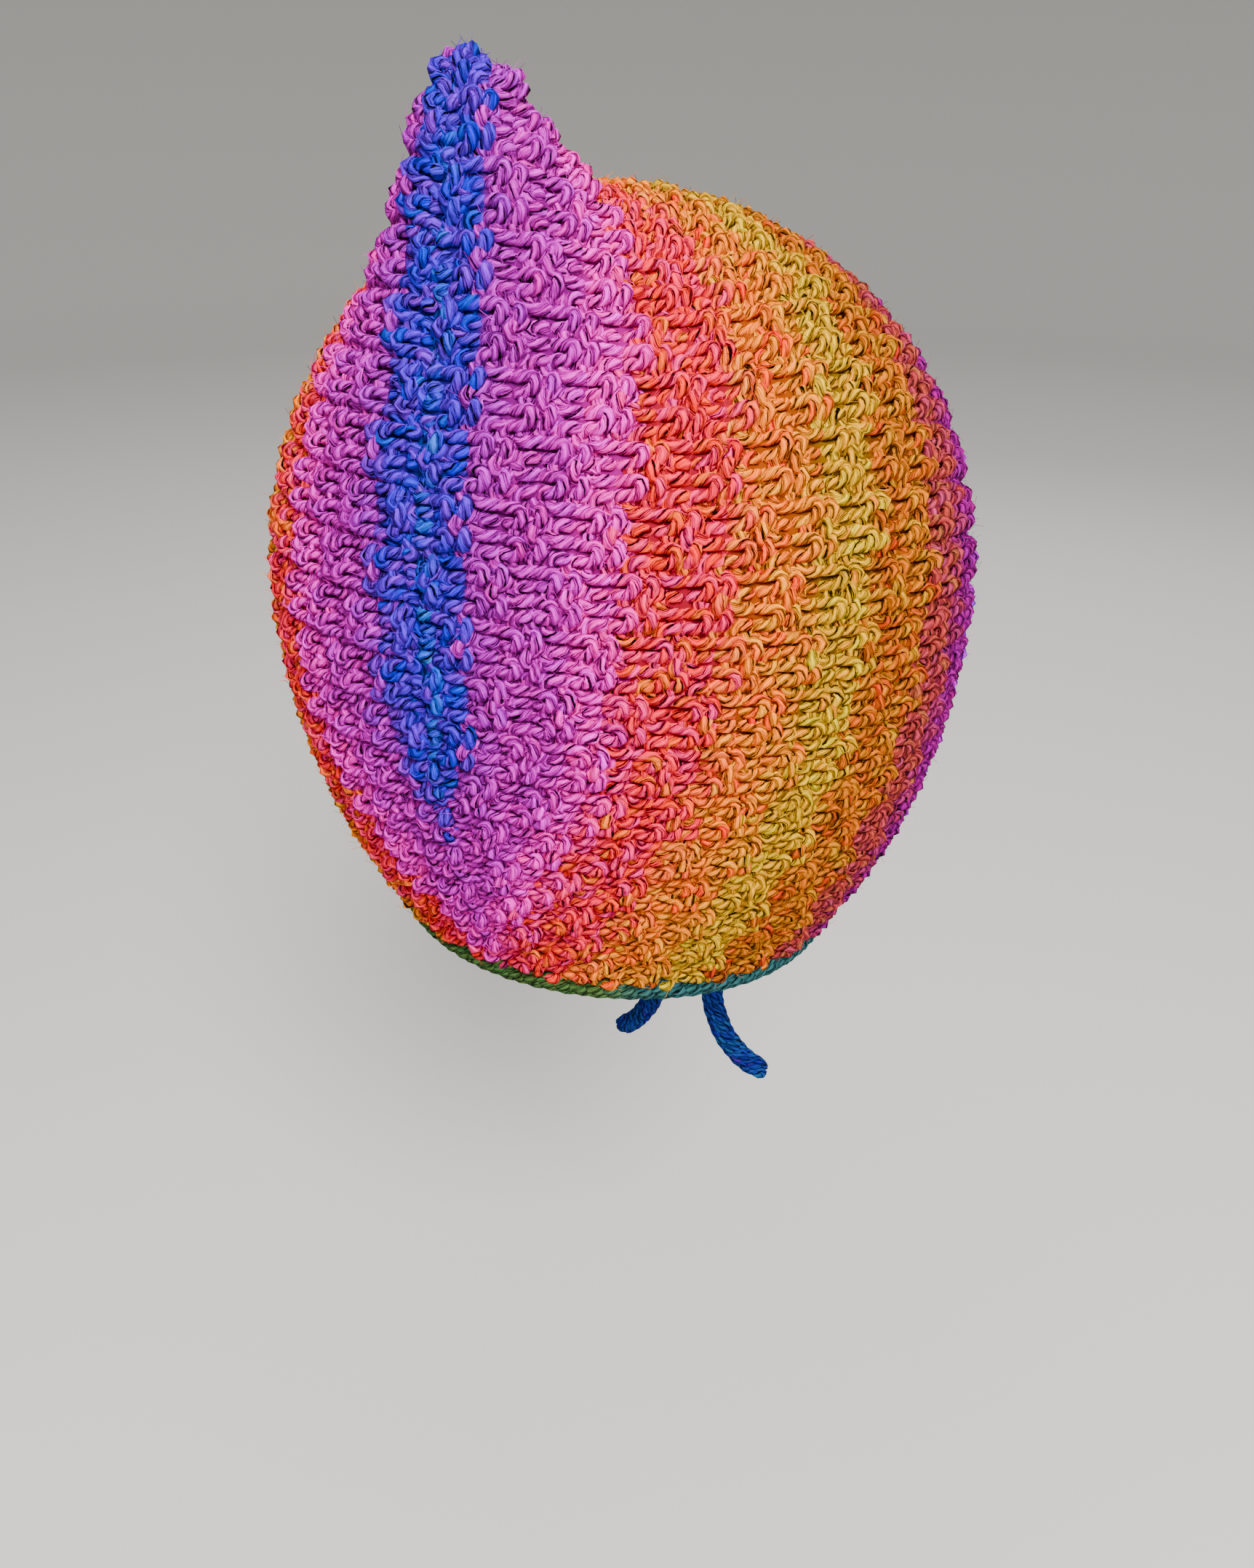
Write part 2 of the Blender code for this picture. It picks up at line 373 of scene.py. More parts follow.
def nape_place():
    nape = np.zeros(3)
    for _ in range(10):
        start = np.array([0, 0, rim_height(nape[1])])
        nape = reach_cloth(start, np.array([0, 1, 0]), LONGEST_REACH)
    return nape


def middle_line(end):
    """Along the plane of the fold and the seam, from the tip to an end."""
    a, b = (math.atan2(place[2], place[1] - MIDDLE[1]) for place in (TIP, end))
    turn = np.linspace(a, b, EDGE_STEPS)
    way = np.stack([0 * turn, np.cos(turn), np.sin(turn)], -1)
    line = reach_cloth(np.broadcast_to(MIDDLE, way.shape), way, LONGEST_REACH)
    line[0], line[-1] = TIP, end
    return line


def edges_of_half():
    nape = nape_place()
    low_y, brow_y = FACE_EDGE[0][0], FACE_EDGE[-1][0]
    brow = reach_cloth(np.array([0, brow_y, 0]), np.array([0, 0, 1]), LONGEST_REACH)
    z = np.linspace(brow[2], rim_height(low_y), EDGE_STEPS)
    start = np.stack([0 * z, np.polyval(face_edge_curve(), z), z], -1)
    face = reach_cloth(start, np.array([1, 0, 0]), LONGEST_REACH)
    face[0] = brow
    y = low_y + (nape[1] - low_y) * np.sin(np.linspace(math.pi / 2, 0, EDGE_STEPS))
    start = np.stack([0 * y, y, rim_height(y)], -1)
    neck = reach_cloth(start, np.array([1, 0, 0]), LONGEST_REACH)
    neck[0], neck[-1] = nape, face[-1]
    lines = ((middle_line(nape), STITCHES), (middle_line(brow), ROWS),
             (neck, ROWS), (face, STITCHES))
    return [even_line(line, steps) for line, steps in lines]


print("half the hat is", STITCHES, "stitches by", ROWS, "rows")

# %% Spread and even out the net
SPREAD_ROUNDS = 400
EVEN_ROUNDS = 150
EVEN_STITCHES, EVEN_ROWS = 0.5, 0.2     # the share that is evened out in a round


def flatten(places):
    """Directions from the middle, as places on a round chart of the hat's left half."""
    way = places - MIDDLE
    way = way / np.linalg.norm(way, axis=-1, keepdims=True)
    reach = np.arccos(np.clip(way[..., 0], -1, 1)) / (math.pi / 2)
    turn = np.arctan2(way[..., 2], way[..., 1])
    return np.stack([reach * np.cos(turn), reach * np.sin(turn)], -1)


def spread_net():
    seam, fold, neck, face = edges_of_half()
    q = np.linspace(0, 1, ROWS + 1)
    sheet = flatten(face)[:, None] * q[None, :, None]
    sheet[:, 0] = flatten(seam)
    sheet[0, :] = flatten(fold)
    sheet[-1, :] = flatten(neck)
    for _ in range(SPREAD_ROUNDS):
        beside = sheet[1:-1, :-2] + sheet[1:-1, 2:]
        sheet[1:-1, 1:-1] = (sheet[:-2, 1:-1] + sheet[2:, 1:-1] + beside) / 4
    reach = np.linalg.norm(sheet, axis=-1) * math.pi / 2
    turn = np.arctan2(sheet[..., 1], sheet[..., 0])
    way = np.stack([np.cos(reach), np.sin(reach) * np.cos(turn), np.sin(reach) * np.sin(turn)], -1)
    net = reach_cloth(np.broadcast_to(MIDDLE, way.shape), way, LONGEST_REACH)
    net[:, 0], net[0, :], net[-1, :], net[:, -1] = seam, fold, neck, face
    return net


def evened_net(net):
    for _ in range(EVEN_ROUNDS):
        inner = net[1:-1, 1:-1]
        along_stitches = (net[:-2, 1:-1] + net[2:, 1:-1]) / 2
        along_rows = (net[1:-1, :-2] + net[1:-1, 2:]) / 2
        evened = EVEN_STITCHES * (along_stitches - inner)
        inner = inner + evened + EVEN_ROWS * (along_rows - inner)
        net[1:-1, 1:-1] = inner
        net = np.stack([even_line(column, ROWS) for column in net])
        net[1:-1, 1:-1] = settle(net[1:-1, 1:-1])
    return net


net = evened_net(spread_net())
stitch_widths = np.linalg.norm(np.diff(net, axis=0), axis=-1) * 1000
row_heights = np.linalg.norm(np.diff(net, axis=1), axis=-1) * 1000
print("a stitch is", round(float(np.median(stitch_widths)), 2), "mm wide,",
      "a row", round(float(np.median(row_heights)), 2), "mm high")

# %% [markdown]
# ## The dart at the nape
#
# A flat rectangle is too wide to close round a neck, so the maker sewed the seam further in
# towards the bottom: the first rows run out into the seam there. The table of the net's own
# coordinates, stitches and rows, says so, and the stripes then swing in to the nape.

# %% Flat coordinates of the net
DART_FROM = 23      # stitches below the fold
DART_ROWS = 12.3    # taken in at the neck
DART_BEND = 1.1
FINE = 2            # cells of the cloth for each stitch and row


def finer(grid):
    """Twice the cells, with the new points on the form."""
    wide = np.repeat(grid, FINE, axis=0)[: (grid.shape[0] - 1) * FINE + 1]
    wide[1::2] = (grid[:-1] + grid[1:]) / 2
    both = np.repeat(wide, FINE, axis=1)[:, : (grid.shape[1] - 1) * FINE + 1]
    both[:, 1::2] = (wide[:, :-1] + wide[:, 1:]) / 2
    return both


def to_part(points):
    """Lean the horn to one side and measure heights from the seat of the head."""
    share = np.clip((points[..., 2] - LEAN_FROM) / LEAN_OVER, 0, 1)
    moved = points.copy()
    moved[..., 0] += HORN_LEAN * share * share * (3 - 2 * share)
    moved[..., 2] -= SEAT_RISE
    return moved


def carried_on(grid):
    """One more line past the neck, and one past the face edge."""
    grid = np.concatenate([grid, 2 * grid[-1:] - grid[-2:-1]])
    return np.concatenate([grid, 2 * grid[:, -1:] - grid[:, -2:-1]], axis=1)


def cells(across, deep, start=0):
    """The four corners of each cell of a grid."""
    corners = (start + i * deep + j for i in range(across - 1) for j in range(deep - 1))
    return [(a, a + 1, a + deep + 1, a + deep) for a in corners]


half = finer(net)
half[1:, 1:] = settle(half[1:, 1:])
p_flat, share = np.meshgrid(
    np.linspace(0, STITCHES, half.shape[0]), np.linspace(0, 1, half.shape[1]), indexing="ij")
first_row = DART_ROWS * np.clip((p_flat - DART_FROM) / (STITCHES - DART_FROM), 0, 1) ** DART_BEND
q_flat = first_row + share * (ROWS - first_row)
for _ in range(FINE):
    half = carried_on(half)
    p_flat = carried_on(p_flat)
    q_flat = carried_on(q_flat)
half_normal = outward_at(half)
print("the first row at the neck is row", round(float(q_flat[-1, 0]), 1))

# %% [markdown]
# ## The cloth as a guide
#
# The yarn is drawn flat first, in stitches and rows, and a guide surface turns flat places
# into places on the hat: its UV map holds the flat coordinates. Along the seam both edges
# turn in, as sewn edges do. The guide itself is not part of the finished hat.

# %% Guide surface
SEAM_TURN = 0.0022                # how far the sewn edges turn in
SEAM_LINES = (1.0, 0.5)           # rows past the seam, on the turned-in edge
SEAM_SHIFT = (0.0010, 0.0004)     # the two edges press against each other there
SEAM_FACING = ((0.5, -0.85), (0.85, -0.5))   # outward, and over to the other half
U_MIDDLE, U_SPAN = 0.5, 90.0
V_START, V_SPAN = 0.1, 70.0
guide_verts, guide_normals, guide_flat, guide_faces = [], [], [], []
for side in (-1, 1):
    seam_out = half_normal[:, 0]
    turned = np.stack([half[:, 0] - seam_out * SEAM_TURN * k * k for k in SEAM_LINES], 1)
    turned[..., 0] += np.array(SEAM_SHIFT)
    places = np.concatenate([turned, half], axis=1)
    facing = [half_normal[:, :1] * out + np.array([aside, 0, 0]) for out, aside in SEAM_FACING]
    normals = np.concatenate([*facing, half_normal], axis=1)
    rows = np.concatenate([*(q_flat[:, :1] - k for k in SEAM_LINES), q_flat], axis=1)
    columns = np.concatenate([p_flat[:, :2], p_flat], axis=1)
    mirror = np.array([side, 1, 1])
    start = len(guide_verts)
    guide_verts += to_part(places * mirror).reshape(-1, 3).tolist()
    guide_normals += (normals * mirror).reshape(-1, 3).tolist()
    u = U_MIDDLE + side * columns / U_SPAN
    v = V_START + rows / V_SPAN
    guide_flat += np.stack([u, v], -1).reshape(-1, 2).tolist()
    guide_faces += cells(*places.shape[:2], start)
guide_data = bpy.data.meshes.new("guide")
guide_data.from_pydata(guide_verts, [], guide_faces)
normal_layer = guide_data.attributes.new("facing", "FLOAT_VECTOR", "POINT")
normal_layer.data.foreach_set("vector", np.array(guide_normals).ravel())
flat_layer = guide_data.uv_layers.new(name="flat")
corners = np.array([guide_flat[loop.vertex_index] for loop in guide_data.loops])
flat_layer.data.foreach_set("uv", corners.ravel())
print("guide surface:", len(guide_faces), "faces")

# %% [markdown]
# ## Helpers for node trees
#
# A tree is a list of small steps, and each helper keeps one kind of step to one line: put a
# node in, do a sum with numbers or with places, choose between two values, and keep a value
# on the points. They all work on the tree that was opened last, which lies on the bench.

# %% Node helpers
class Bench:
    tree = None     # the tree that is being built


def put(kind, values=None, **settings):
    node = Bench.tree.nodes.new(kind)
    for name, value in settings.items():
        setattr(node, name, value)
    for socket, value in (values or {}).items():
        if isinstance(value, bpy.types.NodeSocket):
            Bench.tree.links.new(value, node.inputs[socket])
        else:
            node.inputs[socket].default_value = value
    return node


def geo(kind, values=None, **settings):
    """The first output of a new geometry node."""
    return put("GeometryNode" + kind, values, **settings).outputs[0]


def calc(operation, *values):
    return put("ShaderNodeMath", dict(enumerate(values)), operation=operation).outputs[0]


SUMS = ("ADD", "SUBTRACT", "MULTIPLY", "DIVIDE", "MULTIPLY_ADD", "SINE", "COSINE", "FLOOR")
plus, minus, times, over, times_plus, sine, cosine, whole = (partial(calc, name) for name in SUMS)


def vector(operation, first, second=None):
    """A sum with places or directions. SCALE takes a number as its second value."""
    values = {0: first}
    if second is not None:
        values["Scale" if operation == "SCALE" else 1] = second
    output = "Value" if operation == "DOT_PRODUCT" else "Vector"
    return put("ShaderNodeVectorMath", values, operation=operation).outputs[output]


def combined(x, y, z=0.0):
    return put("ShaderNodeCombineXYZ", {"X": x, "Y": y, "Z": z}).outputs[0]


def parts_of(value):
    return put("ShaderNodeSeparateXYZ", {0: value}).outputs


def choose(test, when_false, when_true):
    """when_false + test * (when_true - when_false), for a test of 0 or 1."""
    return times_plus(test, minus(when_true, when_false), when_false)


def store(geometry, name, value, kind="FLOAT"):
    """Keep a value on every point under a name."""
    return geo("StoreNamedAttribute", {"Geometry": geometry, "Name": name, "Value": value},
               data_type=kind, domain="POINT")


def stored(name, kind="FLOAT"):
    return geo("InputNamedAttribute", {"Name": name}, data_type=kind)


print("sums:", *SUMS)

# %% [markdown]
# A tree is started with its named inputs and outputs, and ends by making its instances real
# and giving them a material. The last helper runs a tree and keeps what it makes.

# %% Helpers that start, end and run a tree
def new_tree(name, kind, inputs, outputs):
    """An empty tree. Its sockets come as lists of names, one list for each kind of socket."""
    tree = Bench.tree = bpy.data.node_groups.new(name, kind)
    for in_out, sockets in (("INPUT", inputs), ("OUTPUT", outputs)):
        for socket_kind, names in sockets.items():
            for socket_name in names:
                tree.interface.new_socket(
                    socket_name, in_out=in_out, socket_type="NodeSocket" + socket_kind)
    return tree, tree.nodes.new("NodeGroupInput").outputs, tree.nodes.new("NodeGroupOutput").inputs


def end_tree(mesh, material, result):
    """Make instances real and give the mesh its material."""
    real = geo("RealizeInstances", {"Geometry": mesh})
    coloured = geo("SetMaterial", {"Geometry": real, "Material": material})
    Bench.tree.links.new(coloured, result["Mesh"])


def made_mesh(name, source, tree, values):
    """Run a tree on an object's data and keep the result as a plain mesh object."""
    thing = placed(name + "_source", source)
    modifier = thing.modifiers.new(tree.name, "NODES")
    modifier.node_group = tree
    sockets = {item.name: item.identifier for item in tree.interface.items_tree
               if item.item_type == "SOCKET" and item.in_out == "INPUT"}
    for input_name, value in values.items():
        modifier[sockets[input_name]] = value
    bpy.context.view_layer.update()
    seen = thing.evaluated_get(bpy.context.evaluated_depsgraph_get())
    mesh = bpy.data.meshes.new_from_object(seen)
    mesh.name = name
    bpy.data.objects.remove(thing, do_unlink=True)
    print(name, "has", sum(len(face.vertices) - 2 for face in mesh.polygons), "triangles")
    return placed(name, mesh)


print("trees take sockets of the kinds Geometry, Int, Float, Vector, Color and Material")

# %% [markdown]
# ## Knit or purl
#
# The pattern is double moss stitch: blocks of two stitches by two rows, knit and purl by
# turns like a chessboard. A knit stitch shows its two legs, a purl stitch its top and bottom.

# %% Node group: knit or purl
BLOCK = 2.0     # stitches and rows


def knit_or_purl_group():
    """+1 where the stitch is knit and -1 where it is purl."""
    tree, given, result = new_tree(
        "knit_or_purl", "GeometryNodeTree", {"Float": ["Stitch", "Row"]}, {"Float": ["Sign"]})
    block = whole(over(given["Stitch"], BLOCK))
    course = whole(over(given["Row"], BLOCK))
    odd = calc("FLOORED_MODULO", plus(block, course), 2.0)
    tree.links.new(times_plus(odd, -2.0, 1.0), result["Sign"])
    return tree


knit_or_purl = knit_or_purl_group()
print("knit or purl:", len(knit_or_purl.nodes), "nodes")


def sign_of(stitch, row):
    values = {"Stitch": stitch, "Row": row}
    return geo("Group", values, node_tree=knit_or_purl)


# %% [markdown]
# ## The yarn itself
#
# The yarn is a tube of six sides, because the hat takes more than three thousand stitches and
# each side counts. Two facts are stored for the material, which draws the twist from them:
# how far along the yarn a point is, and where it lies round it.

# %% Node group: yarn round a curve
YARN_SIDES = 6


def yarn_group():
    tree, given, result = new_tree(
        "yarn", "GeometryNodeTree",
        {"Geometry": ["Curve"], "Float": ["Yarn Radius", "Thickness"]}, {"Geometry": ["Mesh"]})
    length = put("GeometryNodeSplineParameter").outputs["Length"]
    along = store(given["Curve"], "along", length)
    circle = geo("CurvePrimitiveCircle",
                 {"Resolution": YARN_SIDES, "Radius": given["Yarn Radius"]})
    angle = times(geo("InputIndex"), 2 * math.pi / YARN_SIDES)
    around = combined(cosine(angle), sine(angle))
    ring = store(circle, "around", around, "FLOAT_VECTOR")
    tube = geo("CurveToMesh",
               {"Curve": along, "Profile Curve": ring, "Scale": given["Thickness"],
                "Fill Caps": True})
    tree.links.new(geo("SetShadeSmooth", {"Geometry": tube}), result["Mesh"])
    return tree


yarn_tube = yarn_group()
print("yarn:", len(yarn_tube.nodes), "nodes,", YARN_SIDES, "sides")


def spun(curve, radius, thickness):
    values = {"Curve": curve, "Yarn Radius": radius, "Thickness": thickness}
    return geo("Group", values, node_tree=yarn_tube)


# %% [markdown]
# ## Rows of knitting
#
# One yarn knits row after row, to the right and back to the left. Within a stitch it rises
# on one leg, bends over the top and comes down the other leg, and the legs lean apart
# towards the top. Whether a leg lies in front of the cloth or behind it depends on knit or
# purl. Each point of the yarn is worked out flat and then looked up on the guide surface.

# %% Node tree: rows of knitting
EDGE_STITCHES = 1.6       # so many stitches at the ends of a row lift and sway
UNEVEN_SCALE = 0.45
UNEVEN_THICKNESS = 0.5
MIDDLE_GREY = (0.5, 0.5, 0.5)


def knitted_rows_tree():
    tree, given, result = new_tree("knitted_rows", "GeometryNodeTree", {
        "Geometry": ["Guide"], "Int": ["Stitches", "First Row", "Rows", "Points"],
        "Float": ["Loop Height", "Loop Lean", "Slant", "Depth", "Bend Sharpness", "Dip", "Bump",
                  "Block Relief", "Thinning", "Back Fullness", "Edge Lift", "Edge Wave", "Level",
                  "Unevenness", "Smoothing", "Yarn Radius"],
        "Material": ["Material"]}, {"Geometry": ["Mesh"]})
    index = geo("InputIndex")
    per_row = times(given["Stitches"], given["Points"])
    count = times_plus(per_row, given["Rows"], 1.0)
    line = geo("MeshLine", {"Count": count})
    course = whole(over(index, per_row))
    step = minus(index, times(course, per_row))
    forth = over(step, given["Points"])
    back = minus(given["Stitches"], forth)
    row = plus(course, given["First Row"])
    turned = calc("FLOORED_MODULO", row, 2.0)
    across = choose(turned, forth, back)
    stitch = whole(across)
    angle = times(minus(across, stitch), 2 * math.pi)
    level = cosine(angle)      # 1 at the bottom of the stitch, -1 at the top
    # in front of the cloth or behind it
    own = sign_of(stitch, row)
    above = sign_of(stitch, plus(row, 1.0))
    second_half = calc("GREATER_THAN", angle, math.pi)
    beside_step = times_plus(second_half, 2.0, -1.0)
    beside = sign_of(plus(stitch, beside_step), row)
    at_top = calc("LESS_THAN", level, 0.0)
    bottom = times(plus(own, beside), 0.5)
    bend = times(choose(at_top, bottom, above), -1.0)
    in_bend = calc("POWER", calc("ABSOLUTE", level), given["Bend Sharpness"])
    double = times(angle, 2.0)
    between = calc("POWER", sine(double), 2.0)
    sunk = times_plus(between, times(given["Dip"], -1.0), 1.0)
    height = times(choose(in_bend, own, bend), sunk)
    ahead = times(in_bend, calc("MAXIMUM", height, 0.0))
    raised = times(ahead, given["Bump"])
    half_width = times(given["Stitches"], 0.5)
    from_middle = minus(across, half_width)
    past = minus(calc("ABSOLUTE", from_middle), half_width)
    at_edge = put("ShaderNodeMapRange", {0: past, 1: -EDGE_STITCHES, 2: 0.0}).outputs[0]
    lifted = times_plus(at_edge, given["Edge Lift"], given["Level"])
    front = times_plus(plus(height, raised), given["Depth"], lifted)
    # flat place, in stitches and rows
    sway = sine(double)
    rise = times(level, given["Loop Height"])
    slant = times_plus(sway, given["Slant"], plus(row, 0.5))
    every_other = minus(1.0, turned)
    wave = times(every_other, at_edge)
    wave = times(wave, calc("SIGN", from_middle))
    swayed = times_plus(sway, given["Loop Lean"], across)
    flat = combined(times_plus(wave, given["Edge Wave"], swayed), minus(slant, rise))
    noise = put("ShaderNodeTexNoise", {"Vector": flat, "Scale": UNEVEN_SCALE, "Detail": 1.0},
                noise_dimensions="3D")
    centred = vector("SUBTRACT", noise.outputs["Color"], MIDDLE_GREY)
    nudge = vector("SCALE", centred, given["Unevenness"])
    split = parts_of(vector("ADD", flat, nudge))
    # purl blocks swell out of the cloth and knit blocks sink
    swell = times(*(sine(times(split[axis], math.pi / BLOCK)) for axis in ("X", "Y")))
    front = minus(front, times(swell, given["Block Relief"]))
    u = plus(over(minus(split["X"], half_width), U_SPAN), U_MIDDLE)
    place_flat = combined(u, plus(over(split["Y"], V_SPAN), V_START))
    # the same place on the hat
    flat_map = stored("flat", "FLOAT_VECTOR")
    facing = stored("facing", "FLOAT_VECTOR")
    at = geo("InputPosition")
    found = [put("GeometryNodeSampleUVSurface",
                 {"Mesh": given["Guide"], "Value": value, "Source UV Map": flat_map,
                  "Sample UV": place_flat}, data_type="FLOAT_VECTOR").outputs
             for value in (at, facing)]
    unit = vector("NORMALIZE", found[1]["Value"])
    place = vector("ADD", found[0]["Value"], vector("SCALE", unit, front))
    # what the points carry
    colour_row = plus(row, over(forth, given["Stitches"]))
    thin = times_plus(between, times(given["Thinning"], -1.0), 1.0)
    behind = times(calc("MINIMUM", height, 0.0), -1.0)
    full = times_plus(behind, given["Back Fullness"], thin)
    uneven = minus(noise.outputs[0], 0.5)
    thickness = times_plus(uneven, UNEVEN_THICKNESS, full)
    missing = put("FunctionNodeBooleanMath", {0: found[0]["Is Valid"]}, operation="NOT")
    marked = store(line, "yarn_row", colour_row)
    marked = store(marked, "thickness", thickness)
    marked = store(marked, "missing", missing.outputs[0], "BOOLEAN")
    # the yarn
    laid = geo("SetPosition", {"Geometry": marked, "Position": place})
    kept = geo("DeleteGeometry", {"Geometry": laid, "Selection": stored("missing", "BOOLEAN")},
               domain="POINT")
    curve = geo("MeshToCurve", {"Mesh": kept})
    eased = geo("BlurAttribute", {"Value": at, "Iterations": 1, "Weight": given["Smoothing"]},
                data_type="FLOAT_VECTOR")
    curve = geo("SetPosition", {"Geometry": curve, "Position": eased})
    yarn = spun(curve, given["Yarn Radius"], stored("thickness"))
    end_tree(yarn, given["Material"], result)
    return tree


knitted_rows = knitted_rows_tree()
print("knitting tree:", len(knitted_rows.nodes), "nodes")

# %% [markdown]
# ## A knitted cord
#
# The band at the neck and the ties are one narrow tube of knitting, four stitches round,
# worked in a spiral. The tree winds the stitches round a path, and a plain strand runs through
# the middle, where the yarn is carried back on the real cord.

# %% Node tree: knitted cord
def knitted_cord_tree():
    tree, given, result = new_tree("knitted_cord", "GeometryNodeTree", {
        "Geometry": ["Path"], "Int": ["Points"],
        "Float": ["Around", "Pitch", "Loop Height", "Loop Lean", "Cord Radius", "Depth",
                  "Yarn Radius"],
        "Material": ["Material"]}, {"Geometry": ["Mesh"]})
    path = geo("MeshToCurve", {"Mesh": given["Path"]})
    length = geo("CurveLength", {"Curve": path})
    rounds = minus(over(length, given["Pitch"]), 1.0)
    stitches = whole(times(rounds, given["Around"]))
    count = times(stitches, given["Points"])
    line = geo("MeshLine", {"Count": count})
    stitch = over(geo("InputIndex"), given["Points"])
    turn = times(calc("FRACT", stitch), 2 * math.pi)
    double = times(turn, 2.0)
    sway = times(sine(double), given["Loop Lean"])
    swayed = times(plus(stitch, sway), 2 * math.pi)
    angle = over(swayed, given["Around"])
    rise = times(cosine(turn), given["Loop Height"])
    middle = plus(over(stitch, given["Around"]), 0.5)
    along = times(calc("MAXIMUM", minus(middle, rise), 0.0), given["Pitch"])
    reach = times(cosine(double), given["Depth"])
    reach = minus(given["Cord Radius"], reach)
    found = put("GeometryNodeSampleCurve", {"Curves": path, "Length": along}, mode="LENGTH").outputs
    side = vector("CROSS_PRODUCT", found["Tangent"], found["Normal"])
    parts = [vector("SCALE", way, times(calc(share, angle), reach))
             for way, share in ((found["Normal"], "COSINE"), (side, "SINE"))]
    place = vector("ADD", found["Position"], vector("ADD", *parts))
    marked = store(line, "cord_length", along)
    wound = geo("SetPosition", {"Geometry": marked, "Position": place})
    yarn = spun(geo("MeshToCurve", {"Mesh": wound}), given["Yarn Radius"], 1.0)
    inner_length = put("GeometryNodeSplineParameter").outputs["Length"]
    inner = store(path, "cord_length", inner_length)
    core = spun(inner, given["Yarn Radius"], 1.0)
    both = put("GeometryNodeJoinGeometry")
    tree.links.new(core, both.inputs[0])
    tree.links.new(yarn, both.inputs[0])
    end_tree(both.outputs[0], given["Material"], result)
    return tree


knitted_cord = knitted_cord_tree()
print("cord tree:", len(knitted_cord.nodes), "nodes")

# %% [markdown]
# ## Wool
#
# The yarn is three strands that each catch the light, with a painted highlight on the crest of
# each strand and painted shade in the dark lines where they meet, fine hairs along each strand,
# and a colour that is never quite even. One node group works out the colour and the small relief
# from where a point lies round and along the yarn.

# %% Shader group: strands
TWIST_LENGTH = 0.0057
STRANDS = 3
STRANDS_APART = 37.3      # so that each strand changes in its own way
DRIFT_PER_METRE = 75.0
DRIFT_DETAIL = 1.5


def strand_group():
    """Which strand a point is on, and values that change slowly along that strand."""
    tree, given, result = new_tree(
        "strand", "ShaderNodeTree", {}, {"Float": ["Top", "Angle", "Along"], "Vector": ["Drift"]})
    around = put("ShaderNodeAttribute", attribute_name="around")
    along = put("ShaderNodeAttribute", attribute_name="along").outputs["Fac"]
    split = parts_of(around.outputs["Vector"])
    angle = calc("ARCTAN2", split["Y"], split["X"])
    turned = times_plus(along, 2 * math.pi / TWIST_LENGTH, angle)
    wave = cosine(times(turned, float(STRANDS)))
    # 1 on the crest of a strand and 0 in the groove between strands: it raises the relief, and the
    # wool group paints highlight and shade from it
    top = times_plus(wave, 0.5, 0.5)
    number = calc("ROUND", times(turned, STRANDS / (2 * math.pi)))
    number = calc("FLOORED_MODULO", number, float(STRANDS))
    changed = times(along, DRIFT_PER_METRE)
    seen_as = times_plus(number, STRANDS_APART, changed)
    drift = put("ShaderNodeTexNoise", {"W": seen_as, "Scale": 1.0, "Detail": DRIFT_DETAIL},
                noise_dimensions="1D")
    tree.links.new(top, result["Top"])
    tree.links.new(turned, result["Angle"])
    tree.links.new(along, result["Along"])
    tree.links.new(vector("SUBTRACT", drift.outputs["Color"], MIDDLE_GREY), result["Drift"])
    return tree


strand_noise = strand_group()
print("strands:", len(strand_noise.nodes), "nodes,", STRANDS, "strands")

# %% Shader group: wool
HAIRS_PER_METRE = 190.0
HAIR_SCALE = 3.2
HAIR_DETAIL = 3.0
HAIR_ROUGHNESS = 0.65
# painted shade in the grooves between strands and a painted highlight on their crests
PAINTED_GROOVE_SHADE = 0.26       # brightness where two strands meet
PAINTED_CREST_HIGHLIGHT = 0.78          # what the top of a strand adds
HAIR_CONTRAST = 4.0
DRIFT_CONTRAST = 0.8
BRIGHTEST = 1.22
HUE_DRIFT = 0.11
HAIR_RELIEF = 0.8
RELIEF_DEPTH = 0.0004


def wool_group():
    """The colour and the small relief of a twisted yarn."""
    tree, given, result = new_tree(
        "wool", "ShaderNodeTree",
        {"Color": ["Colour"]}, {"Color": ["Colour"], "Vector": ["Normal"]})
    strand = put("ShaderNodeGroup", node_tree=strand_noise).outputs
    hair_at = combined(cosine(strand["Angle"]), sine(strand["Angle"]),
                       times(strand["Along"], HAIRS_PER_METRE))
    hairs = put("ShaderNodeTexNoise",
                {"Vector": hair_at, "Scale": HAIR_SCALE, "Detail": HAIR_DETAIL,
                 "Roughness": HAIR_ROUGHNESS})
    hair = minus(hairs.outputs[0], 0.5)
    drift = parts_of(strand["Drift"])
    # painted shade and highlight: dark in the grooves between strands, bright on their crests
    value = times_plus(strand["Top"], PAINTED_CREST_HIGHLIGHT, PAINTED_GROOVE_SHADE)
    value = times_plus(hair, HAIR_CONTRAST, value)
    value = times_plus(drift["Y"], DRIFT_CONTRAST, value)
    value = calc("MINIMUM", value, BRIGHTEST)
    hue = times_plus(drift["Z"], HUE_DRIFT, 0.5)
    mixed = put("ShaderNodeHueSaturation",
                {"Hue": hue, "Value": value, "Color": given["Colour"]})
    held = vector("MINIMUM", mixed.outputs[0], (1, 1, 1))
    relief = times_plus(hair, HAIR_RELIEF, strand["Top"])
    bump = put("ShaderNodeBump",
               {"Strength": 1.0, "Distance": RELIEF_DEPTH, "Height": relief})
    tree.links.new(held, result["Colour"])
    tree.links.new(bump.outputs[0], result["Normal"])
    return tree


wool = wool_group()
print("wool:", len(wool.nodes), "nodes")


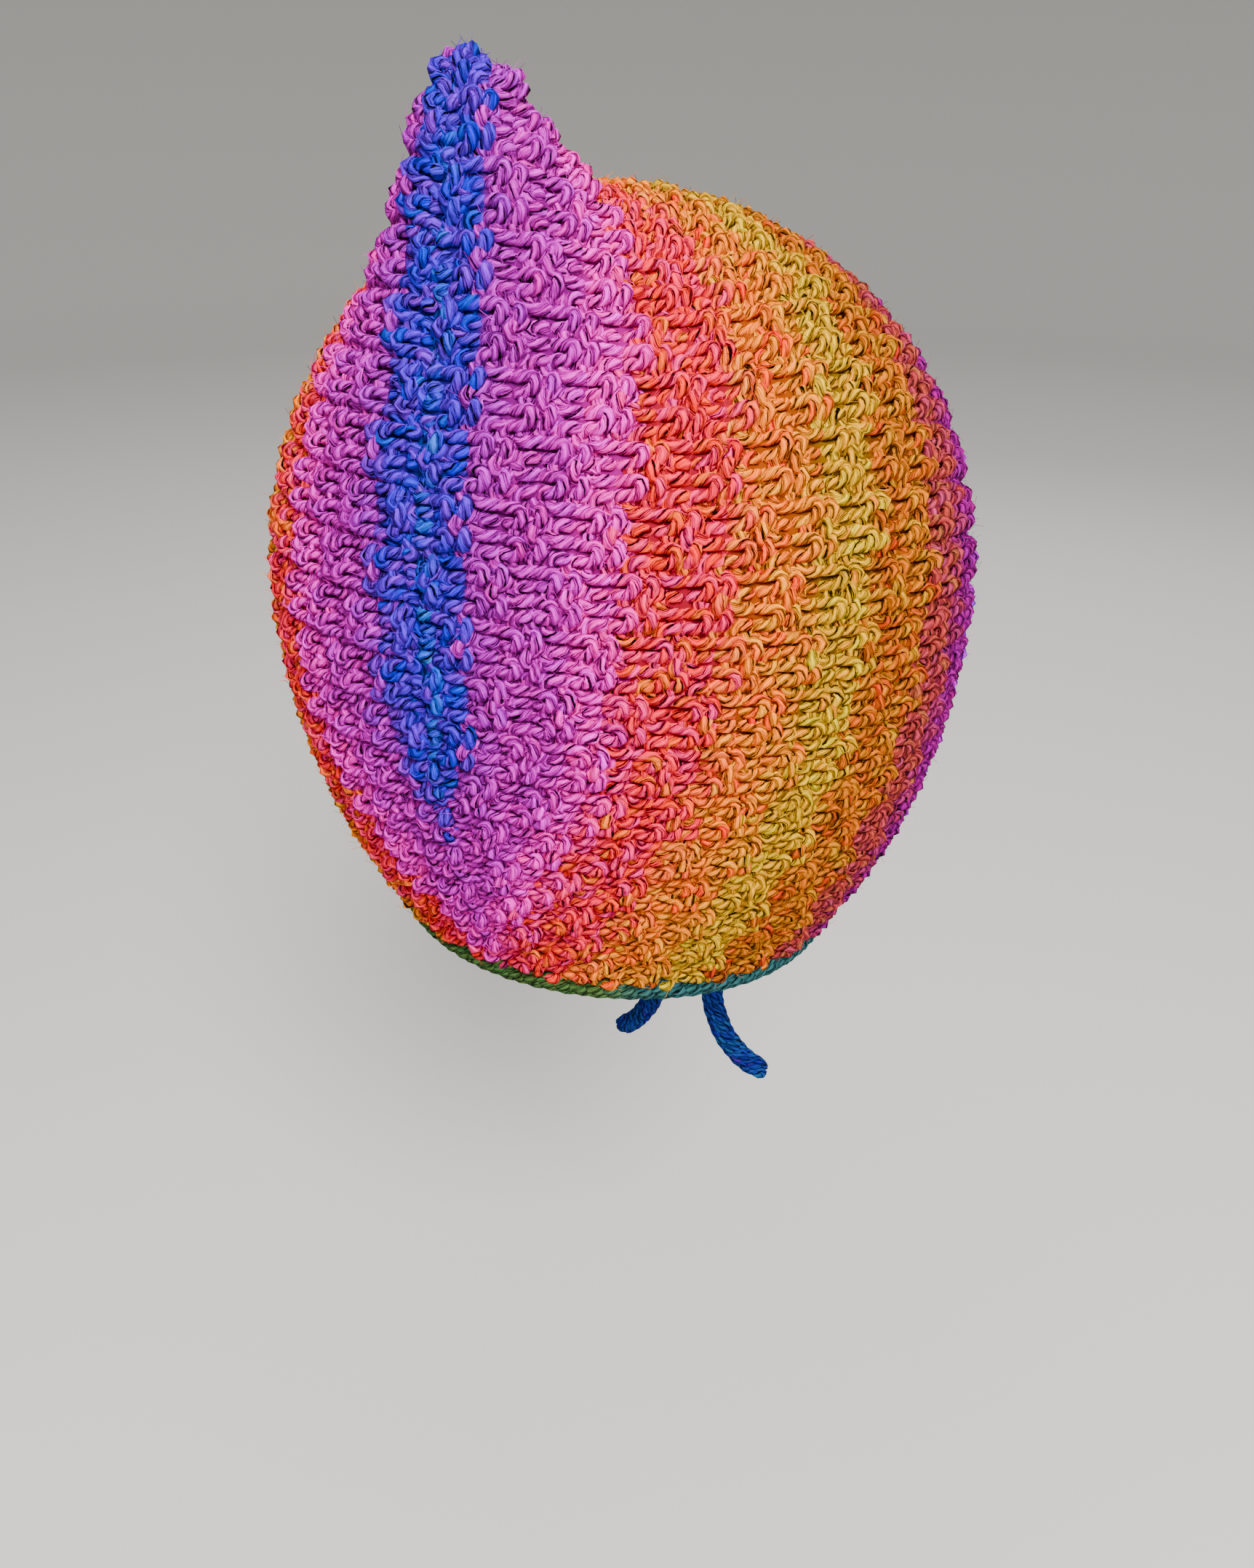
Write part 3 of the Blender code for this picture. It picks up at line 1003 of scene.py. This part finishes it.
# %% Wool in stripes along the yarn
def wool_material(name, attribute, span, stops, blur):
    """Wool whose colour runs through stops (place, linear colour) of an attribute."""
    made = bpy.data.materials.new(name)
    made.use_nodes = True
    tree = Bench.tree = made.node_tree
    shader = tree.nodes["Principled BSDF"]
    place = put("ShaderNodeAttribute", attribute_name=attribute)
    strand = put("ShaderNodeGroup", node_tree=strand_noise)
    drift = parts_of(strand.outputs["Drift"])
    shifted = times_plus(drift["X"], blur, place.outputs["Fac"])
    ramp = put("ShaderNodeValToRGB", {0: over(shifted, span)})
    table = ramp.color_ramp
    while len(table.elements) < len(stops):
        table.elements.new(0.5)
    for element, (at, colour) in zip(table.elements, stops):
        element.position = at / span
        element.color = (*colour, 1)
    yarn = put("ShaderNodeGroup", {"Colour": ramp.outputs[0]}, node_tree=wool)
    tree.links.new(yarn.outputs["Colour"], shader.inputs["Base Color"])
    tree.links.new(yarn.outputs["Normal"], shader.inputs["Normal"])
    shader.inputs["Roughness"].default_value = 0.9
    shader.inputs["Specular IOR Level"].default_value = 0.04
    print(name, "has", len(stops), "colour stops")
    return made


# %% The striped yarn
TEAL = (0.0, 0.06, 0.62)
BLUE = (0.07, 0.0, 0.64)
VIOLET = (0.42, 0.0, 0.54)
PURPLE = (0.58, 0.0, 0.50)
PINK = (1.0, 0.0, 0.58)
CORAL = (1.0, 0.010, 0.05)
ORANGE = (0.98, 0.19, 0.0)
AMBER = (0.72, 0.215, 0.0)
YELLOW = (0.66, 0.33, 0.0)
RUST = (0.54, 0.135, 0.0)
# the rose and magenta stripes in their own colours, darkened further as painted shade for the rim
# by the face, where these rows lie
ROSE_IN_PAINTED_SHADE = (0.40, 0.035, 0.04)
MAGENTA_IN_PAINTED_SHADE = (0.26, 0.0, 0.19)
YARN_STOPS = (
    # row, colour
    (0, TEAL), (0.1, TEAL), (0.5, BLUE), (2.7, BLUE), (3.1, VIOLET), (5.2, PURPLE),
    (8.0, PURPLE), (9.4, PINK), (11.4, PINK), (12.3, CORAL), (17.0, CORAL), (18.4, ORANGE),
    (20.6, ORANGE), (22.6, AMBER), (23.4, YELLOW), (26.3, YELLOW), (27.4, RUST), (32.0, RUST),
    (33.5, ROSE_IN_PAINTED_SHADE), (37.0, ROSE_IN_PAINTED_SHADE), (39.0, MAGENTA_IN_PAINTED_SHADE), (44, MAGENTA_IN_PAINTED_SHADE), (46, VIOLET), (49, BLUE))
striped_wool = wool_material("striped_wool", "yarn_row", ROWS, YARN_STOPS, 1.0)

# %% [markdown]
# ## Knit the hat
#
# The rows are knitted in four goes, one piece for every fourteen rows, so that no piece is too
# large. Each lies on the same guide, and together they are the hood of the solid model.

# %% The knitted pieces
ROWS_A_PIECE = 14
knitted = []
for k, first in enumerate(range(0, ROWS, ROWS_A_PIECE)):
    piece = made_mesh(f"knitting_{k + 1}", guide_data, knitted_rows, {
        "Stitches": 2 * STITCHES, "First Row": first, "Rows": min(ROWS_A_PIECE, ROWS - first),
        "Points": 14, "Loop Height": 0.82, "Loop Lean": 0.14, "Slant": 0.14, "Depth": 0.0013,
        "Bend Sharpness": 3.0, "Dip": 0.3, "Bump": 0.45, "Block Relief": 0.0014,
        "Thinning": 0.12, "Back Fullness": 0.6, "Edge Lift": 0.0012, "Edge Wave": 0.6,
        "Level": -0.0024, "Unevenness": 0.28, "Smoothing": 0.6, "Yarn Radius": 0.00112,
        "Material": striped_wool})
    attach(piece, "root")
    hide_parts("hood")
    knitted.append(piece)

# %% [markdown]
# ## Loose fibres between the stitches, in painted shade
#
# Real wool never leaves a clean hole between two stitches, because loose fibres cross it. A
# web a third of a millimetre thick lies in the middle of the cloth and stands for them: it
# is seen only deep in the gaps, in the same stripes darkened as painted shade for the gaps.

# %% A web in painted shade in the middle of the cloth
WEB_LEVELS = (-0.0024, -0.0027)
# painted shade: the web's colour is the stripes darkened to the shade deep in the gaps
WEB_PAINTED_SHADE = 0.3
WEB_SEAM_GAP = 0.0001
MIRROR = np.array([-1, 1, 1])


def fibre_web_in_painted_shade():
    inner = (slice(0, 1 - FINE, FINE), slice(0, 1 - FINE * 2, FINE))   # a cell for each stitch
    base, facing, rows = half[inner].copy(), half_normal[inner], q_flat[inner]
    base[:, 0, 0] = WEB_SEAM_GAP
    base = np.concatenate([base[:0:-1] * MIRROR, base])
    facing = np.concatenate([facing[:0:-1] * MIRROR, facing])
    rows = np.concatenate([rows[:0:-1], rows])
    across, deep = rows.shape
    count = across * deep
    verts = np.concatenate([to_part(base + facing * level).reshape(-1, 3) for level in WEB_LEVELS])
    faces = []
    for cell in cells(across, deep):
        faces += [cell, tuple(corner + count for corner in reversed(cell))]
    rim = list(range(deep))
    rim += [i * deep + deep - 1 for i in range(1, across)]
    rim += [(across - 1) * deep + j for j in range(deep - 2, -1, -1)]
    rim += [i * deep for i in range(across - 2, 0, -1)]
    for a, b in zip(rim, rim[1:] + rim[:1]):
        faces.append((b, a, a + count, b + count))
    data = bpy.data.meshes.new("web")
    data.from_pydata(verts.tolist(), [], faces)
    layer = data.attributes.new("yarn_row", "FLOAT", "POINT")
    layer.data.foreach_set("value", np.tile(rows.ravel(), len(WEB_LEVELS)))
    data.shade_smooth()
    # painted shade: the stripe colours darkened
    painted_shade_stops = [(at, tuple(WEB_PAINTED_SHADE * part for part in colour)) for at, colour in YARN_STOPS]
    data.materials.append(wool_material("web_wool_painted_shade", "yarn_row", ROWS, painted_shade_stops, 0.0))
    return placed("web", data)


web = fibre_web_in_painted_shade()
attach(web, "root")
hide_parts("hood")
print("web of fibres:", len(web.data.polygons), "faces")

# %% [markdown]
# ## Fuzz
#
# Wool sheds short hairs, which soften the outline of every strand. Points are scattered over
# the outer side of the yarn, and a short hair leans from each, in the yarn's own colour
# there. A hair is a straight thread of three sides.

# %% Node tree: fuzz
HAT_CENTRE = (0.0, 0.012, -0.07)
OUTER_SIDE = 0.15             # how squarely a face has to look away from the centre
HAIR_WAY = (0.95, 0.0, 0.3)   # nearly flat on the yarn
SHORTEST_HAIR, LONGEST_HAIR = 0.45, 1.25


def fuzz_tree():
    tree, given, result = new_tree("fuzz", "GeometryNodeTree", {
        "Geometry": ["Yarn"], "Float": ["Density", "Hair Length", "Hair Radius"],
        "Int": ["Seed"], "Material": ["Material"]}, {"Geometry": ["Mesh"]})
    out = vector("NORMALIZE", vector("SUBTRACT", geo("InputPosition"), HAT_CENTRE))
    facing = vector("DOT_PRODUCT", out, geo("InputNormal"))
    outer = put("FunctionNodeCompare", {0: facing, 1: OUTER_SIDE},
                data_type="FLOAT", operation="GREATER_THAN")
    scatter = put("GeometryNodeDistributePointsOnFaces",
                  {"Mesh": given["Yarn"], "Selection": outer.outputs[0],
                   "Density": given["Density"], "Seed": given["Seed"]}).outputs
    line = geo("CurvePrimitiveLine",
               {"Start": (0, 0, 0), "End": vector("SCALE", HAIR_WAY, given["Hair Length"])})
    ring = geo("CurvePrimitiveCircle", {"Resolution": 3, "Radius": given["Hair Radius"]})
    hair = geo("CurveToMesh", {"Curve": line, "Profile Curve": ring, "Fill Caps": True})
    spin, size = [put("FunctionNodeRandomValue", {2: low, 3: high, "Seed": given["Seed"]},
                      data_type="FLOAT").outputs[1]
                  for low, high in ((-math.pi, math.pi), (SHORTEST_HAIR, LONGEST_HAIR))]
    turn = put("FunctionNodeAxisAngleToRotation", {"Axis": (0, 0, 1), "Angle": spin})
    leaning = put("FunctionNodeRotateRotation",
                  {0: scatter["Rotation"], 1: turn.outputs[0]}, rotation_space="LOCAL")
    planted = geo("InstanceOnPoints",
                  {"Points": scatter["Points"], "Instance": hair,
                   "Rotation": leaning.outputs[0], "Scale": size})
    end_tree(planted, given["Material"], result)
    return tree


fuzz = fuzz_tree()
print("fuzz tree:", len(fuzz.nodes), "nodes")

# %% Fuzz on the knitting
HAIRS_TRIED = 13440       # on all sides of a piece's yarn, under half of them on the outer side
for k, piece in enumerate(knitted):
    area = sum(face.area for face in piece.data.polygons)
    hairs = made_mesh(f"fuzz_{k + 1}", piece.data.copy(), fuzz, {
        "Density": HAIRS_TRIED / area, "Seed": k + 1, "Hair Length": 0.0021,
        "Hair Radius": 0.000035, "Material": striped_wool})
    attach(hairs, "root")
    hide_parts("hood")

# %% [markdown]
# ## The band at the neck and the ties
#
# The band is knitted onto the lower edge of the hat and draws it in, and it goes on past each
# front corner as a tie. Its route is worked out from the net's last line, a little inside the
# cloth and just under it. A narrower cord in the striped yarn stands for the edge stitches
# round the face. All of them are made by the cord tree, each with its own path and sizes.

# %% Routes of the band and of the face edge
BAND_RISE = 0.0010        # the band sits up under the edge of the hat
BAND_INSET = 0.0038
BAND_STEPS = 64
FACE_STEPS = 96


def both_sides(middle, steps):
    """A route on the whole hat from its half."""
    return even_line(to_part(np.concatenate([middle[:0:-1] * MIRROR, middle])), steps)


def neck_route():
    middle = net[-1] - outward_at(net[-1]) * BAND_INSET
    middle[:, 2] = rim_height(net[-1, :, 1]) - NECK_CORD_DIAMETER / 2 + BAND_RISE
    middle[0, 0] = 0
    return both_sides(middle, BAND_STEPS)


def face_route():
    """Along the face opening, in the middle of the cloth's thickness."""
    return both_sides(net[:, -1] - outward_at(net[:, -1]) * WALL / 2, FACE_STEPS)


print("the band is", round(length_of(neck_route()) * 1000), "mm long, the face edge",
      round(length_of(face_route()) * 1000), "mm")

# %% Wool for the cords
SEA_BLUE = (0.015, 0.06, 0.15)
SEA_GREEN = (0.025, 0.105, 0.115)
GREEN = (0.055, 0.12, 0.03)
TIE_TEAL = (0.015, 0.08, 0.13)
TIE_BLUE = (0.01, 0.04, 0.22)
TIE_END = (0.01, 0.03, 0.25)
cord_wool = wool_material("cord_wool", "cord_length", 0.26, (
    (0, SEA_BLUE), (0.04, SEA_GREEN), (0.085, SEA_GREEN), (0.095, GREEN), (0.26, GREEN)), 0.01)
tie_wool = wool_material("tie_wool", "cord_length", 0.12, (
    (0, TIE_TEAL), (0.03, TIE_BLUE), (0.12, TIE_END)), 0.02)
edge_wool = wool_material("edge_wool", "cord_length", 1.0, ((0, BLUE), (1.0, VIOLET)), 0.0)

# %% The cords
CORD_YARN = 0.00105
STITCH_INSET = 0.0010     # the stitches' own thickness lies outside their middle line


def path_data(name, places):
    data = bpy.data.meshes.new(name + "_path")
    data.from_pydata([tuple(p) for p in places], [(i, i + 1) for i in range(len(places) - 1)], [])
    return data


def knit_cord(name, places, around, pitch, radius, yarn, material):
    return made_mesh(name, path_data(name, places), knitted_cord, {
        "Points": 12, "Around": around, "Pitch": pitch, "Loop Height": 0.8, "Loop Lean": 0.17,
        "Cord Radius": radius, "Depth": 0.0004, "Yarn Radius": yarn, "Material": material})


edge = knit_cord("face_edge", face_route(), 3.0, 0.0040, 0.0012, 0.0009, edge_wool)
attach(edge, "root")
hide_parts("hood")
band = knit_cord("neck_band", neck_route(), 4.0, 0.0032, NECK_CORD_DIAMETER / 2 - STITCH_INSET,
                 CORD_YARN, cord_wool)
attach(band, "root")
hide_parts("neck_cord")
for name, path in tie_paths.items():
    tie = knit_cord(name + "_knit", path, 4.0, 0.0032, TIE_DIAMETER / 2 - STITCH_INSET,
                    CORD_YARN, tie_wool)
    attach(tie, "root")
    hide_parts(name)
